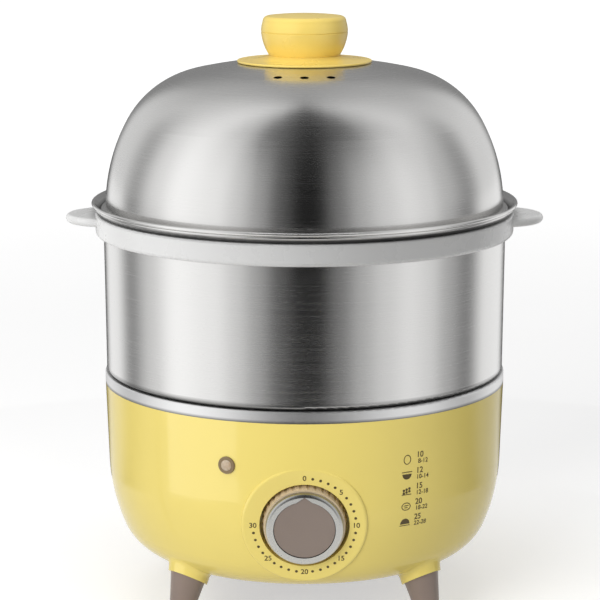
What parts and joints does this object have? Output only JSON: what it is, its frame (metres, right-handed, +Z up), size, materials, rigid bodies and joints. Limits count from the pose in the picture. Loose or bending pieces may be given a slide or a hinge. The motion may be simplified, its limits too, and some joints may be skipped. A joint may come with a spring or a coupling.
{
  "type": "egg cooker",
  "caption": "Round egg cooker on leaning legs: timer base with dial and lamp, steel steamer bowl with eared collar, domed steel lid with knob.",
  "frame": {"origin": "on the floor under the middle of the object", "axes": "+Z up along the axis of the bowl, front with the dial towards -Y, +X to the right seen from the front"},
  "size_m": [0.238, 0.2116, 0.2957],
  "materials": {
    "brushed_steel": "fine brushed, satin",
    "shell_yellow": "smooth gloss",
    "knob_yellow": "satin",
    "collar_white": "smooth gloss",
    "trim_silver": "satin",
    "leg_taupe": "satin",
    "dial_champagne": "pearl",
    "dial_silver": "satin",
    "dial_taupe": "satin",
    "lamp_taupe": "satin",
    "lamp_lens": "frosted",
    "lamp_bulb": "clear",
    "rack_white": "satin",
    "pan_steel": "satin",
    "silicone": "matte",
    "foot_rubber": "matte",
    "heater_aluminium": "cast",
    "heater_steel": "oxidised",
    "screw_steel": "zinc plated",
    "inner_black": "matte",
    "inner_white": "matte",
    "bell_brass": "satin",
    "wire_red": "matte",
    "cover_taupe": "fine texture"
  },
  "bodies": {
    "base": {"base_shell": "shell_yellow", "trim_ring": "trim_silver", "heating_pan": "pan_steel", "pan_seal": "silicone", "heat_spreader": "heater_aluminium", "heating_tube": "heater_steel", "thermostat": "heater_aluminium", "thermal_fuse": "inner_white", "bottom_cover": "cover_taupe", "bottom_screws": "screw_steel", "leg_screws": "screw_steel", "timer_body": "inner_black", "timer_bell": "bell_brass", "timer_screws": "screw_steel", "lamp_bezel": "lamp_taupe", "lamp_lens": "lamp_lens", "lamp_bulb": "lamp_bulb", "cord_gland": "inner_black", "terminal_block": "inner_white", "wiring_leads": "wire_red", "leg_rear_right": "leg_taupe", "foot_pad_rear_right": "foot_rubber", "leg_rear_left": "leg_taupe", "foot_pad_rear_left": "foot_rubber", "leg_front_left": "leg_taupe", "foot_pad_front_left": "foot_rubber", "leg_front_right": "leg_taupe", "foot_pad_front_right": "foot_rubber"},
    "dial": {"dial_grip": "dial_champagne", "dial_ring": "dial_silver", "dial_cap": "dial_taupe", "timer_shaft": "screw_steel"},
    "bowl": {"steamer_bowl": "brushed_steel", "bowl_collar": "collar_white"},
    "rack": {"egg_rack": "rack_white"},
    "lid": {"lid_dome": "brushed_steel", "lid_knob_base": "knob_yellow", "lid_knob_lower": "knob_yellow", "lid_knob_cap": "knob_yellow", "lid_gasket": "silicone", "lid_screw": "screw_steel"}
  },
  "joints": [
    {"name": "bowl_lift", "type": "slide", "parent": "base", "child": "bowl", "axis": [0, 0, 1], "range_m": [0, 0.1]},
    {"name": "lid_lift", "type": "slide", "parent": "bowl", "child": "lid", "axis": [0, 0, 1], "range_m": [0, 0.12]},
    {"name": "rack_lift", "type": "slide", "parent": "bowl", "child": "rack", "axis": [0, 0, 1], "range_m": [0, 0.06]},
    {"name": "timer_turn", "type": "hinge", "parent": "base", "child": "dial", "pos_m": [0, -0.0945, 0.0625], "axis": [0, 0.9848, 0.1736], "range_deg": [0, 270]}
  ]
}
